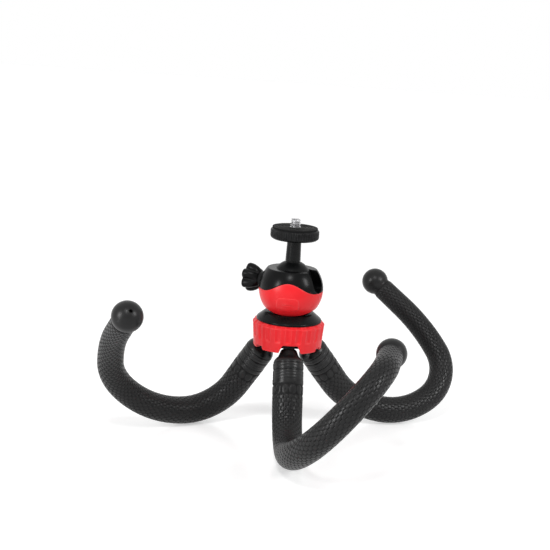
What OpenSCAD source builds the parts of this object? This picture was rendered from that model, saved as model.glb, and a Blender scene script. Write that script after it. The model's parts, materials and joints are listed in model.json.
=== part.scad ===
// Small camera stand with three flexible rubber legs and a ball head.
// Z is up, the floor is z = 0, and the front leg leaves the hub toward -Y.
// The origin is the middle of the footprint, on the floor. Sizes are in millimetres.

/* [Stance] */
// Height of the ring's lower edge above the floor
hub_height = 58.5; // [57:0.5:61]
// Front leg: way each bend turns, from outward (0) toward the next leg (90)
front_roll = [1, 39, 41, 43]; // [-60:1:140]
// Front leg: angle of each bend
front_bend = [79, 28, 50, 79]; // [20:1:80]
// Left leg: way each bend turns, from outward (0) toward the next leg (90)
left_roll = [62, 28, 84, 127]; // [-60:1:140]
// Left leg: angle of each bend
left_bend = [77, 32, 49, 20]; // [20:1:80]
// Right leg: way each bend turns, from outward (0) toward the next leg (90)
right_roll = [-38, 11, 27, 15]; // [-60:1:140]
// Right leg: angle of each bend
right_bend = [42, 48, 78, 20]; // [20:1:80]

/* [Legs] */
// Length of one of the five sections of a rubber sleeve
section = 39; // [37:0.5:41]
// Sleeve radius next to the collar
sleeve_top_r = 9.5; // [9.2:0.1:9.6]
// Sleeve radius next to the foot
sleeve_end_r = 7.2; // [7.1:0.1:8]
// Radius of the ball-shaped foot
foot_r = 9; // [8.5:0.1:9.5]
// Radius of the small hole in the end of the foot
vent_r = 1.1; // [0.6:0.1:1.5]
// Distance from a leg's root pin to the end of its collar
collar_len = 24; // [23:0.5:27]
// Collar radius at its bands
collar_r = 9.4; // [9:0.1:9.5]
// Collar radius at its neck
neck_r = 4.4; // [4.2:0.1:4.6]
// Radius of the bendable core inside a sleeve
core_r = 3; // [2.6:0.1:3.2]
// Radius of the core's knuckles
knuckle_r = 3.6; // [3.4:0.1:3.8]
// Radius of the pin in a knuckle
knuckle_pin_r = 1.2; // [1:0.1:1.4]

/* [Hub and ring] */
// Distance from the head's axis to a leg's root pin
pivot_r = 11.3; // [11.2:0.1:11.8]
// Height of the root pins above the ring's lower edge
pivot_z = 5; // [4.8:0.1:5.2]
// Radius of the root pins
root_pin_r = 1.5; // [1.2:0.1:1.7]
// Ring radius at its upper edge
ring_top_r = 22.5; // [22:0.1:23]
// Ring radius at its lower edge
ring_low_r = 21.3; // [21:0.1:22]
// Ring height
ring_h = 16.8; // [16:0.1:18]
// Number of grip flutes round the ring
flutes = 21; // [15:3:27]
// Depth of a grip flute
flute_depth = 0.6; // [0.3:0.1:0.8]
// Depth of the arch over each leg
arch_h = 5; // [4.8:0.1:5.6]
// Width of that arch at its top
arch_top_w = 9.8; // [9.6:0.1:10]
// Width of that arch at its foot
arch_low_w = 14; // [13.8:0.1:14.4]

/* [Ball head] */
// Radius of the ball housing
housing_r = 20; // [19.8:0.1:20.5]
// Height of the housing's centre above the ring's upper edge
housing_up = 19.9; // [19.6:0.1:20.2]
// Height of the housing's open top above its centre
rim_up = 12.8; // [12.4:0.1:13.4]
// Ball radius
ball_r = 12.5; // [12.3:0.1:12.6]
// Height of the ball's centre above the housing's centre
ball_up = 5.5; // [5.3:0.1:5.8]
// Direction of the drop notch, seen from above
notch_az = -35; // [-50:1:-20]
// Width of the drop notch
notch_w = 10.6; // [10.4:0.1:11.4]
// Direction that the red cover's front faces, seen from above
cover_az = -100; // [-110:1:-90]
// Thickness of the red cover
cover_t = 0.8; // [0.6:0.1:1.2]
// Height of the rise in the cover's upper edge
cover_rise = 6.5; // [4:0.5:7]
// Knob radius over its lobes
knob_r = 9; // [8.5:0.1:10]
// Knob thickness
knob_t = 9.8; // [9.4:0.1:10.4]
// Height of the knob's axis above the housing's centre
knob_up = 2.3; // [2.1:0.1:2.5]
// Distance that one turn of the knob draws the brake back
knob_pitch = 0.8; // [0.5:0.1:0.8]

/* [Camera seat] */
// Stem radius at its top
stem_r = 4.35; // [4.1:0.05:4.4]
// Height of the seat disc's underside above the ball's centre
disc_up = 25.5; // [24.5:0.1:27]
// Seat disc radius
disc_r = 15; // [14:0.5:16]
// Seat disc height
disc_h = 6.5; // [6.2:0.1:7.5]
// Number of knurls round the seat disc
knurls = 60; // [40:4:72]
// Thickness of the rubber pad on the seat disc
pad_t = 1.2; // [0.8:0.1:2]
// Radius of the camera screw, for a quarter inch thread
screw_r = 3.175; // [3:0.005:3.2]
// Length of the camera screw above the pad
screw_h = 5; // [4.5:0.1:5.5]

/* [Fits] */
// Radial clearance of pins and spindles that turn
run_fit = 0.05; // [0.03:0.01:0.08]
// Clearance between still parts that lie against each other
rest_fit = 0.05; // [0.03:0.01:0.1]
// Gap between neighbouring sleeve sections
sleeve_gap = 0.3; // [0.2:0.1:0.4]
// Side clearance of a tongue in its fork
side_fit = 0.15; // [0.1:0.05:0.2]

/* [Hidden] */
$fn = 64;

black = [0.06, 0.06, 0.065];
rubber = [0.1, 0.1, 0.105];
red = [0.82, 0.1, 0.11];
steel = [0.68, 0.69, 0.7];
brass = [0.78, 0.62, 0.3];

// A leg is its direction seen from above, the rolls of its bends and their angles.
front = [-90, front_roll, front_bend];
left = [150, left_roll, left_bend];
right = [30, right_roll, right_bend];
legs = [front, left, right];
bends = 4;
steps = 12;

// Frames along a leg, from the root pin: z runs along the leg.
function turn_z(a) = [[cos(a), -sin(a), 0, 0], [sin(a), cos(a), 0, 0], [0, 0, 1, 0], [0, 0, 0, 1]];
function turn_y(a) = [[cos(a), 0, sin(a), 0], [0, 1, 0, 0], [-sin(a), 0, cos(a), 0], [0, 0, 0, 1]];
function shift(v) = [[1, 0, 0, v.x], [0, 1, 0, v.y], [0, 0, 1, v.z], [0, 0, 0, 1]];
function bow_r(bend) = section * 180 / (PI * bend);
function roll_of(leg, k) = 180 - leg[1][k - 1];
function bend_of(leg, k) = leg[2][k - 1];
function flat_bow(bend, part) =
    shift([bow_r(bend) * (1 - cos(bend * part)), 0, bow_r(bend) * sin(bend * part)]) * turn_y(bend * part);
function bow_frame(leg, k, part) =
    turn_z(roll_of(leg, k)) * flat_bow(bend_of(leg, k), part) * turn_z(-roll_of(leg, k));
function end_frame(leg, k) =
    k == 0 ? shift([0, 0, collar_len + section / 2]) : end_frame(leg, k - 1) * bow_frame(leg, k, 1);
function joint_frame(leg, k) = end_frame(leg, k - 1) * bow_frame(leg, k, 0.5) * turn_z(roll_of(leg, k));

// Sleeve radius of half section j, from the collar down.
function sleeve_r(j) = sleeve_top_r + (sleeve_end_r - sleeve_top_r) * (j + 0.5) / 10;
foot_set = 0.67 * foot_r;

// Points of a leg: place, direction and radius, in the leg's own frame.
function column(m, i) = [m[0][i], m[1][i], m[2][i]];
function bow_points(leg, k) = [
    for (i = [0:steps])
        let (m = end_frame(leg, k - 1) * bow_frame(leg, k, i / steps))
        [column(m, 3), column(m, 2), sleeve_r(i * 2 <= steps ? 2 * k - 1 : 2 * k)]
];
function leg_points(leg) = [for (k = [1:bends]) each bow_points(leg, k)];
function foot_centre(leg) = column(end_frame(leg, bends) * shift([0, 0, section / 2 + foot_set]), 3);

// Height above the floor and lowest place of a leg that is tilted out by a given angle.
function drop(v, tilt) = -sin(tilt) * v.x - cos(tilt) * v.z;
function side(c) = sqrt(max(0, 1 - c * c));
function lowest(leg, tilt) = hub_height + pivot_z + min(
    drop(foot_centre(leg), tilt) - foot_r,
    min([for (p = leg_points(leg)) drop(p[0], tilt) - p[2] * side(drop(p[1], tilt))])
);
function solve_tilt(leg, low, high, n) =
    let (mid = (low + high) / 2)
    n == 0 ? mid :
    lowest(leg, mid) > 0 ? solve_tilt(leg, low, mid, n - 1) : solve_tilt(leg, mid, high, n - 1);
tilts = [for (leg = legs) solve_tilt(leg, 12, 52, 22)];
function tilt_of(leg) = leg[0] == front[0] ? tilts[0] : leg[0] == left[0] ? tilts[1] : tilts[2];

// Footprint, with the head's axis at zero.
function root_frame(leg) =
    turn_z(leg[0]) * shift([pivot_r, 0, hub_height + pivot_z]) * turn_y(180 - tilt_of(leg));
function spread(leg, i, way) =
    let (m = root_frame(leg))
    max(concat(
        [let (c = m * concat(foot_centre(leg), 1)) way * c[i] + foot_r],
        [for (p = leg_points(leg))
            let (c = m * concat(p[0], 1), d = m * concat(p[1], 0))
            way * c[i] + p[2] * side(d[i])]
    ));
function reach(i, way) = max([for (leg = legs) spread(leg, i, way)]);
axis_x = (reach(0, -1) - reach(0, 1)) / 2;
axis_y = (reach(1, -1) - reach(1, 1)) / 2;

eye_r = 3.8;
eye_w = 6.6;
ear_t = 3;
ear_gap = eye_w + 2 * side_fit;
disc_low = 10.2;
hub_r = 18.05;
tongue_t = 2.3;
fork_w = 5.6;
fork_gap = tongue_t + 2 * side_fit;
knuckle_room = knuckle_r + 0.7;
pocket_r = 5.3;
socket_z = collar_len - 11;
peg = 5;
join_rise = 0.1;
join_set = 0.3;
join_w = 2;
housing_z = ring_h + housing_up;
rim_z = housing_z + rim_up;
ball_z = housing_z + ball_up;
knob_z = housing_z + knob_up;
disc_z = ball_z + disc_up;
seat_r = ball_r + 2;
seat_edge = -7.2;
flat_z = ring_h + 2.7;
stud_top = flat_z + 6.9;
shoe_r = 3.2;
shoe_back = 16.55;
nut_z = 17.5;
boss_r = 5.2;
boss_z = 21.8;
knob_start = 22.2;
stem_foot = ball_z + ball_r - 0.65;
head_z = disc_z + 3.2;

// Places a child at the head or on a leg.
module on_head() {
    translate([axis_x, axis_y, hub_height]) children();
}
module on_leg(leg) {
    translate([axis_x, axis_y, hub_height])
        rotate([0, 0, leg[0]])
            translate([pivot_r, 0, pivot_z])
                rotate([0, 180 - tilt_of(leg), 0])
                    children();
}
module on_knob() {
    translate([0, 0, knob_z]) rotate([0, 0, notch_az + 180]) rotate([0, 90, 0]) children();
}
module every_leg() {
    for (leg = legs) rotate([0, 0, leg[0]]) children();
}
module between_legs() {
    for (leg = legs) rotate([0, 0, leg[0] + 60]) children();
}

// Round bow of one bend, from part a to part b of its length.
module bow(leg, k, r, a, b) {
    bend = bend_of(leg, k);
    multmatrix(end_frame(leg, k - 1))
        rotate([0, 0, roll_of(leg, k)])
            translate([bow_r(bend), 0, 0])
                rotate([90, 0, 180])
                    rotate([0, 0, bend * a])
                        rotate_extrude(angle = bend * (b - a))
                            translate([bow_r(bend), 0])
                                circle(r = r);
}

// Course of section i: radius r1 in its first half, r2 in its second, ends moved out by over.
// A short band, wider by join_rise, joins the two halves.
module course(leg, i, r1, r2, over) {
    half = 0.5 + over / section;
    short = 1 - join_set / section;
    if (i == 1)
        translate([0, 0, collar_len - over]) cylinder(r = r1, h = section / 2 + over - join_set);
    else
        bow(leg, i - 1, r1, 1 - half, short);
    multmatrix(end_frame(leg, i - 1))
        translate([0, 0, -join_w / 2]) cylinder(r = max(r1, r2) + join_rise, h = join_w);
    if (i == 5)
        multmatrix(end_frame(leg, bends))
            translate([0, 0, join_set]) cylinder(r = r2, h = section / 2 + over - join_set);
    else
        bow(leg, i, r2, 1 - short, half);
}

module across(r, w) {
    rotate([90, 0, 0]) cylinder(r = r, h = w, center = true);
}
module at_joint(leg, k) {
    multmatrix(joint_frame(leg, k)) children();
}

module sleeve(leg, i) {
    color(rubber)
    on_leg(leg)
    difference() {
        course(leg, i, sleeve_r(2 * i - 2), sleeve_r(2 * i - 1), -sleeve_gap / 2);
        course(leg, i, core_r + rest_fit, core_r + rest_fit, 1);
        if (i > 1) at_joint(leg, i - 1) sphere(r = pocket_r);
        if (i < 5) at_joint(leg, i) sphere(r = pocket_r);
    }
}

module core_link(leg, i) {
    color(steel)
    on_leg(leg)
    union() {
        difference() {
            union() {
                course(leg, i, core_r, core_r, 0);
                if (i == 1) translate([0, 0, socket_z]) cylinder(r = core_r, h = collar_len - socket_z + 1);
                if (i == 5) multmatrix(end_frame(leg, bends)) cylinder(r = core_r, h = section / 2 + peg);
                if (i > 1) at_joint(leg, i - 1) across(knuckle_r, tongue_t);
                if (i < 5) at_joint(leg, i) across(knuckle_r, fork_w);
            }
            if (i > 1) at_joint(leg, i - 1) tongue_cut();
            if (i < 5) at_joint(leg, i) across(knuckle_room, fork_gap);
        }
        if (i < 5) at_joint(leg, i) across(knuckle_pin_r, fork_w);
    }
}
module tongue_cut() {
    across(knuckle_pin_r + run_fit, 3 * fork_w);
    for (s = [-1, 1])
        translate([0, s * (tongue_t / 2 + fork_w), 0]) across(knuckle_room, 2 * fork_w);
}

module collar(leg) {
    neck = [[4.8, 0], [5.6, 0.6], [7, 1.1], [8.2, 1.6], [9.2, 2.1], [10.2, 3.1], [11.4, 4.2], [12.8, 4.8]];
    band_z = [13.2, 17.6, collar_len];
    groove = 0.6;
    color(black)
    on_leg(leg)
    difference() {
        union() {
            across(eye_r, eye_w);
            translate([-3.2, -eye_w / 2, 0]) cube([6.4, eye_w, 6]);
            rotate_extrude()
                polygon(concat(
                    [[0, neck[0].x]],
                    [for (p = neck) [neck_r + p.y * (collar_r - 0.2 - neck_r) / neck[7].y, p.x]],
                    [for (n = [0:1])
                        each [
                            [collar_r - groove, band_z[n] + 0.05],
                            [collar_r - groove, band_z[n] + 0.5],
                            [collar_r - 0.3, band_z[n] + 0.6],
                            [collar_r, band_z[n] + 1.2],
                            [collar_r, band_z[n + 1] - 0.6],
                            [collar_r - 0.3, band_z[n + 1]]
                        ]],
                    [[0, collar_len]]
                ));
        }
        across(root_pin_r + run_fit, 3 * eye_w);
        translate([0, 0, socket_z - rest_fit]) cylinder(r = core_r + rest_fit, h = collar_len);
    }
}

module foot(leg) {
    color(rubber)
    on_leg(leg)
    multmatrix(end_frame(leg, bends))
    translate([0, 0, section / 2 + foot_set])
    difference() {
        sphere(r = foot_r);
        translate([0, 0, -foot_set - foot_r + rest_fit - sleeve_gap / 2])
            cylinder(r = 2 * foot_r, h = foot_r);
        translate([0, 0, -2 * foot_set]) cylinder(r = core_r + rest_fit, h = foot_set + peg + rest_fit);
        translate([0, 0, foot_r - 3]) cylinder(r = vent_r, h = 6);
    }
}

module ring() {
    scoop = PI * ring_top_r / flutes;
    slope = atan2(ring_top_r - ring_low_r, ring_h - 2.2);
    flute_z = 0.4 * ring_h;
    flute_r = ring_low_r + tan(slope) * (flute_z - 0.5);
    color(red)
    on_head()
    difference() {
        rotate_extrude()
            polygon([
                [hub_r + rest_fit, 0.4], [hub_r + rest_fit + 0.4, 0], [ring_low_r - 0.5, 0], [ring_low_r, 0.5],
                [ring_top_r, ring_h - 1.7], [ring_top_r - 0.6, ring_h - 1.1], [ring_top_r - 1.9, ring_h],
                [hub_r + rest_fit, ring_h],
                [hub_r + rest_fit, disc_low - rest_fit], [hub_r - 1.5, disc_low - rest_fit],
                [hub_r - 1.5, disc_low - 2], [hub_r + rest_fit, disc_low - 3.6]
            ]);
        for (i = [0:flutes - 1])
            rotate([0, 0, (i + 0.5) * 360 / flutes])
                translate([flute_r - flute_depth + scoop, 0, flute_z])
                    rotate([0, slope, 0]) cylinder(r = scoop, h = ring_h);
        every_leg()
            translate([hub_r - 4, 0, 0])
                rotate([90, 0, 90])
                    linear_extrude(12)
                        polygon([
                            [-arch_low_w / 2 - 0.3, -1], [arch_low_w / 2 + 0.3, -1],
                            [arch_top_w / 2 + 0.5, arch_h - 1.4], [arch_top_w / 2, arch_h - 0.5],
                            [arch_top_w / 2 - 0.9, arch_h], [-arch_top_w / 2 + 0.9, arch_h],
                            [-arch_top_w / 2, arch_h - 0.5], [-arch_top_w / 2 - 0.5, arch_h - 1.4]
                        ]);
        between_legs()
            translate([hub_r - 4, 0, 0])
                rotate([90, 0, 90])
                    linear_extrude(12)
                        polygon([[-3.7, -1], [3.7, -1], [2.9, 1.7], [2.5, 2], [-2.5, 2], [-2.9, 1.7]]);
    }
}

module hub_body() {
    color(black)
    on_head()
    difference() {
        union() {
            translate([0, 0, disc_low]) cylinder(r = hub_r, h = ring_h - disc_low);
            every_leg()
                for (s = [-1, 1])
                    translate([pivot_r, s * (ear_gap + ear_t) / 2, pivot_z]) {
                        across(eye_r + 0.2, ear_t);
                        translate([-eye_r - 0.2, -ear_t / 2, 0]) cube([2 * eye_r + 0.4, ear_t, disc_low - pivot_z + 1]);
                    }
        }
        every_leg() translate([pivot_r, 0, pivot_z]) across(root_pin_r, 30);
        translate([0, 0, disc_low - 1]) cylinder(r = 6.4, h = 5.1, $fn = 6);
        cylinder(r = screw_r, h = 40);
        between_legs() translate([13, 0, 0]) cylinder(r = 1.25, h = 40);
    }
}

module leg_pins() {
    color(steel)
    on_head()
    every_leg()
        translate([pivot_r, 0, pivot_z]) across(root_pin_r, ear_gap + 2 * ear_t);
}

module hub_stud() {
    color(steel)
    on_head()
    translate([0, 0, disc_low + 0.2]) cylinder(r = screw_r, h = stud_top - disc_low - 0.2);
}

module hub_nut() {
    color(steel)
    on_head()
    difference() {
        translate([0, 0, disc_low + rest_fit]) cylinder(r = 6.35, h = 4, $fn = 6);
        cylinder(r = screw_r, h = 40);
    }
}

module bottom_cap() {
    color(black)
    on_head()
    translate([0, 0, disc_low - 1.6]) cylinder(r = 6.8, h = 1.6);
}

module hub_screws() {
    color(steel)
    on_head()
    between_legs()
        translate([13, 0, 0])
            difference() {
                union() {
                    translate([0, 0, disc_low - 1.8]) cylinder(r = 2.4, h = 1.8);
                    translate([0, 0, disc_low - 1]) cylinder(r = 1.25, h = ring_h - disc_low + 2.6);
                }
                for (a = [0, 90])
                    rotate([0, 0, a]) translate([-1.5, -0.3, disc_low - 3]) cube([3, 0.6, 1.8]);
            }
}

module base_flange() {
    color(black)
    on_head()
    difference() {
        rotate_extrude()
            polygon([
                [0, ring_h], [19.9, ring_h], [20.3, ring_h + 0.4], [20.3, ring_h + 1.1], [19.9, ring_h + 1.5],
                [15.8, ring_h + 5], [15.2, ring_h + 5.3], [0, ring_h + 5.3]
            ]);
        intersection() {
            translate([0, 0, housing_z]) sphere(r = housing_r + rest_fit);
            translate([-30, -30, flat_z]) cube(60);
        }
        cylinder(r = screw_r, h = 40);
        between_legs() translate([13, 0, 0]) cylinder(r = 1.25, h = ring_h + 1.65);
    }
}

// Space below the red cover's upper edge, seen from its front.
function cover_top(x) = housing_z + cover_rise * (1 + cos(180 * min(1, abs(x) / 17.3))) / 2;
function cover_low(x) = housing_z - 15 + 4 * pow(x / 16.7, 2);
module below_edge(grow) {
    rotate([0, 0, cover_az + 90])
        rotate([90, 0, 0])
            linear_extrude(80, center = true)
                polygon(concat(
                    [[-40, -5], [40, -5]],
                    [for (i = [0:40]) let (x = 20 - i) [x * (i == 0 || i == 40 ? 2 : 1), cover_top(x) + grow]]
                ));
}
module above_low_edge() {
    rotate([0, 0, cover_az + 90])
        rotate([90, 0, 0])
            linear_extrude(80, center = true)
                polygon(concat(
                    [[24, 70], [-24, 70]],
                    [for (i = [0:24]) let (x = 2 * i - 24) [x, cover_low(x)]]
                ));
}

module red_cover() {
    badge_w = 17;
    badge_h = 8;
    color(red)
    on_head()
    difference() {
        union() {
            intersection() {
                translate([0, 0, housing_z]) sphere(r = housing_r);
                below_edge(0);
                above_low_edge();
            }
            intersection() {
                translate([0, 0, housing_z]) sphere(r = housing_r + 0.35);
                translate([0, 0, housing_z - 3.4])
                    rotate([0, 0, cover_az + 90])
                        rotate([90, 0, 0])
                            linear_extrude(30)
                                difference() {
                                    badge(badge_w, badge_h, 2.4);
                                    badge(badge_w - 1.6, badge_h - 1.6, 1.6);
                                }
            }
        }
        translate([0, 0, housing_z]) sphere(r = housing_r - cover_t + rest_fit);
        on_knob() cylinder(r = boss_r + rest_fit, h = 40);
    }
}
module badge(w, h, r) {
    square([w - 2 * r, h], center = true);
    square([w, h - 2 * r], center = true);
    for (x = [-1, 1], y = [-1, 1]) translate([x * (w / 2 - r), y * (h / 2 - r)]) circle(r = r);
}

module housing() {
    color(black)
    on_head()
    difference() {
        union() {
            intersection() {
                translate([0, 0, housing_z]) sphere(r = housing_r);
                translate([-30, -30, flat_z]) cube([60, 60, rim_z - flat_z]);
                union() {
                    translate([0, 0, housing_z]) sphere(r = housing_r - cover_t);
                    difference() {
                        translate([-30, -30, 0]) cube([60, 60, 90]);
                        below_edge(0.12);
                    }
                }
            }
            on_knob() translate([0, 0, 17]) cylinder(r = boss_r, h = boss_z - 17);
        }
        translate([0, 0, ball_z]) sphere(r = ball_r + run_fit);
        intersection() {
            translate([0, 0, ball_z]) sphere(r = seat_r + run_fit);
            translate([-30, -30, 0]) cube([60, 60, ball_z - 1]);
        }
        translate([0, 0, ball_z])
            rotate([0, 0, notch_az]) {
                rotate([0, 90, 0]) cylinder(r = notch_w / 2, h = 40);
                translate([0, -notch_w / 2, 0]) cube([40, notch_w, 30]);
            }
        on_knob() cylinder(r = shoe_r + run_fit, h = nut_z);
        on_knob() translate([0, 0, nut_z]) cylinder(r = 4, h = 20);
        cylinder(r = screw_r, h = stud_top + 0.2);
    }
}

module ball_seat() {
    color([0.85, 0.85, 0.82])
    on_head()
    translate([0, 0, ball_z])
    difference() {
        intersection() {
            sphere(r = seat_r);
            translate([-20, -20, -20]) cube([40, 40, 20 + seat_edge]);
        }
        sphere(r = ball_r + run_fit);
    }
}

module ball() {
    color(black)
    on_head()
    translate([0, 0, ball_z])
    difference() {
        sphere(r = ball_r);
        translate([0, 0, -6]) cylinder(r = stem_r + run_fit, h = 30);
    }
}

module stem() {
    top = disc_z - 0.5;
    color(black)
    on_head()
    union() {
        translate([0, 0, ball_z - 5.8]) cylinder(r = stem_r, h = top - ball_z + 5.8);
        translate([0, 0, stem_foot + 0.4]) cylinder(r1 = stem_r + 0.35, r2 = stem_r, h = top - stem_foot - 0.4);
        translate([0, 0, top - 1]) cylinder(r = 3, h = head_z - 0.9 - top + 1);
        translate([0, 0, head_z - 1]) cylinder(r = 4.2, h = 0.8);
    }
}

module disc_washer() {
    color(steel)
    on_head()
    translate([0, 0, disc_z - 0.5])
    difference() {
        cylinder(r = 6.5, h = 0.4);
        translate([0, 0, -1]) cylinder(r = 3 + rest_fit, h = 3);
    }
}

module seat_disc() {
    notch = 0.5;
    color(black)
    on_head()
    difference() {
        translate([0, 0, disc_z])
            rotate_extrude()
                polygon([
                    [0, 0], [disc_r - 1.2, 0], [disc_r, 1.2], [disc_r, disc_h - 0.7], [disc_r - 0.7, disc_h],
                    [0, disc_h]
                ]);
        for (i = [0:knurls - 1])
            rotate([0, 0, i * 360 / knurls])
                translate([disc_r + 0.25, 0, disc_z - 1]) cylinder(r = notch, h = disc_h + 2);
        cylinder(r = 3 + run_fit, h = 90);
        translate([0, 0, head_z - 1.15]) cylinder(r = 4.2 + run_fit, h = 1.1);
        translate([0, 0, head_z]) cylinder(r = 5.55, h = 20);
    }
}

module seat_pad() {
    color(rubber)
    on_head()
    translate([0, 0, disc_z + disc_h])
    difference() {
        cylinder(r = disc_r - 1, h = pad_t);
        translate([0, 0, -1]) cylinder(r = screw_r + 0.3, h = 5);
    }
}

module camera_screw() {
    top = disc_z + disc_h;
    color(steel)
    on_head()
    union() {
        translate([0, 0, head_z]) cylinder(r = 5.5, h = top - head_z);
        translate([0, 0, head_z]) cylinder(r = screw_r + 0.2, h = top + pad_t - head_z);
        translate([0, 0, head_z]) cylinder(r = screw_r, h = top + pad_t + screw_h - head_z);
    }
}

module brake_shoe() {
    color(brass)
    on_head()
    difference() {
        on_knob() translate([0, 0, 8]) cylinder(r = shoe_r, h = shoe_back - 8);
        translate([0, 0, ball_z]) sphere(r = ball_r + run_fit);
    }
}

module knob_nut() {
    color(brass)
    on_head()
    on_knob()
    difference() {
        translate([0, 0, nut_z]) cylinder(r = 4, h = boss_z - 0.1 - nut_z);
        cylinder(r = 2.5 + run_fit, h = 40);
    }
}

module knob_screw() {
    color(steel)
    on_head()
    on_knob()
    translate([0, 0, shoe_back + run_fit]) cylinder(r = 2.5, h = knob_start + 6.5 - shoe_back - run_fit);
}

module knob() {
    lobe = 2.9;
    color(black)
    on_head()
    on_knob()
    translate([0, 0, knob_start])
    difference() {
        intersection() {
            rotate_extrude()
                polygon([
                    [0, 0], [5.2, 0], [knob_r - 1.7, 2.4], [knob_r - 0.5, 5], [knob_r, 7], [knob_r, knob_t - 0.7],
                    [knob_r - 0.7, knob_t], [0, knob_t]
                ]);
            union() {
                cylinder(r = knob_r - lobe + 0.7, h = knob_t);
                for (i = [0:5])
                    rotate([0, 0, 60 * i]) translate([knob_r - lobe, 0, 0]) cylinder(r = lobe, h = knob_t);
            }
        }
        translate([0, 0, -1]) cylinder(r = 2.5, h = 7.5);
    }
}

ring();
hub_body();
leg_pins();
hub_stud();
hub_nut();
bottom_cap();
hub_screws();
base_flange();
housing();
red_cover();
ball_seat();
ball();
brake_shoe();
knob_nut();
knob_screw();
knob();
stem();
disc_washer();
seat_disc();
seat_pad();
camera_screw();
collar(front);  // front_collar
core_link(front, 1);  // front_link_1
core_link(front, 2);  // front_link_2
core_link(front, 3);  // front_link_3
core_link(front, 4);  // front_link_4
core_link(front, 5);  // front_link_5
sleeve(front, 1);  // front_sleeve_1
sleeve(front, 2);  // front_sleeve_2
sleeve(front, 3);  // front_sleeve_3
sleeve(front, 4);  // front_sleeve_4
sleeve(front, 5);  // front_sleeve_5
foot(front);  // front_foot
collar(left);  // left_collar
core_link(left, 1);  // left_link_1
core_link(left, 2);  // left_link_2
core_link(left, 3);  // left_link_3
core_link(left, 4);  // left_link_4
core_link(left, 5);  // left_link_5
sleeve(left, 1);  // left_sleeve_1
sleeve(left, 2);  // left_sleeve_2
sleeve(left, 3);  // left_sleeve_3
sleeve(left, 4);  // left_sleeve_4
sleeve(left, 5);  // left_sleeve_5
foot(left);  // left_foot
collar(right);  // right_collar
core_link(right, 1);  // right_link_1
core_link(right, 2);  // right_link_2
core_link(right, 3);  // right_link_3
core_link(right, 4);  // right_link_4
core_link(right, 5);  // right_link_5
sleeve(right, 1);  // right_sleeve_1
sleeve(right, 2);  // right_sleeve_2
sleeve(right, 3);  // right_sleeve_3
sleeve(right, 4);  // right_sleeve_4
sleeve(right, 5);  // right_sleeve_5
foot(right);  // right_foot
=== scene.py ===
"""Small camera stand with three flexible rubber legs and a ball head, dressed for rendering.

Head shapes are in millimetres, with z = 0 at the ring's lower edge on the head's axis.
Leg shapes are in millimetres too, with z running along the leg from its root pin.
"""
import json
import math

import bmesh
import bpy
from bpy.props import FloatProperty, FloatVectorProperty, IntProperty, PointerProperty
from mathutils import Matrix, Vector


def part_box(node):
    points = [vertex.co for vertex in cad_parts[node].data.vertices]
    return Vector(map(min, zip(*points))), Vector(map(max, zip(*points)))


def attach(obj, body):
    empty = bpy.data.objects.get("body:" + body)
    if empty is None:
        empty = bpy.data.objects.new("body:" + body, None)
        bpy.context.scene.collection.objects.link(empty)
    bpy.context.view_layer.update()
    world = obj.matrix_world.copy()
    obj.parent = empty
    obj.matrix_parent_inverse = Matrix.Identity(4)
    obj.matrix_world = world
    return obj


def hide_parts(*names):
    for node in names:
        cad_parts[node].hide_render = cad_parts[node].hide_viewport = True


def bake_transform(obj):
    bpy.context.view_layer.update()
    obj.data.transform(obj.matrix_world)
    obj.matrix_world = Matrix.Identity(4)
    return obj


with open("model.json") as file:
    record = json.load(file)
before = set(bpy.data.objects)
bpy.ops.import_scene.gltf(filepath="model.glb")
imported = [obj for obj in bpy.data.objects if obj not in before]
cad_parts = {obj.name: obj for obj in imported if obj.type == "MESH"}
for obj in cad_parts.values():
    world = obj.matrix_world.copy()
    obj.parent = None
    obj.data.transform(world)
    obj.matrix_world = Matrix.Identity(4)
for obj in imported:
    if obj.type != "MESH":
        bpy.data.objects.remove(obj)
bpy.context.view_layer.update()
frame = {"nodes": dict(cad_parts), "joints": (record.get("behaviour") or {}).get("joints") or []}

bl_info = {
    "name": "Flexible leg stand",
    "version": (1, 0, 0),
    "blender": (4, 5, 0),
    "location": "View3D > Sidebar > Stand",
    "description": "Builds the visible pieces of a camera stand with flexible legs",
    "category": "Object",
}

MM = 0.001
JOINTS = {joint["name"]: joint for joint in frame["joints"]}

# Leg routes: direction seen from above, and the way that each bend turns, in degrees.
LEG_WAYS = {
    "front": (-90, (1, 39, 41, 43)),
    "left": (150, (62, 28, 84, 127)),
    "right": (30, (-38, 11, 27, 15)),
}
SECTION = 39.0
COLLAR_LEN = 24.0
COLLAR_R = 9.4
COLLAR_BANDS = (13.2, 17.6, 24.0)
NECK_R = 4.4
PIVOT_R = 11.3
PIVOT_Z = 5.0
FOOT_SET = 6.03
SLEEVE_LEN = 5 * SECTION
ROUTE_MISS = 0.0005

# The sleeve's mesh and its moulded surface. Shares are of a scale's pitch, row or height.
SLEEVE_COLUMNS = 144
ROW_STEPS = 6
BORE_R = 5.0
SCALLOP_ROWS = 4
SCALE_WIDE = 0.53
SCALE_LONG = 0.66
PLATE_EDGE = 0.5
SURFACE_SHARE = 0.85

# Head shapes.
HUB_R = 18.05
RING_TOP_R = 22.5
RING_LOW_R = 21.3
RING_H = 16.8
HOUSING_R = 20.0
HOUSING_Z = 36.7
INNER_R = 19.2
FLAT_Z = 19.5
RIM_Z = 49.5
RIM_EASE = 0.25
SHELL_LIP = 0.14
BALL_R = 12.5
BALL_Z = 42.2
CAVITY_R = 12.55
MOUTH_R = math.sqrt(CAVITY_R ** 2 - (RIM_Z - BALL_Z) ** 2)
NOTCH_AZ = math.radians(-35)
NOTCH_R = 5.3
COVER_TURN = math.radians(10)
BADGE_DROP = 6.6
BOSS_R = 5.2
KNOB_AZ = 145
KNOB_Z = 39.0
DISC_R = 15.0
DISC_Z = 67.7
DISC_H = 6.5
PAD_R = 14.0
PAD_T = 1.2
SCREW_R = 3.175
SCREW_OUT = 5.0
HEAD_Z = DISC_Z + 3.2

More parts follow.
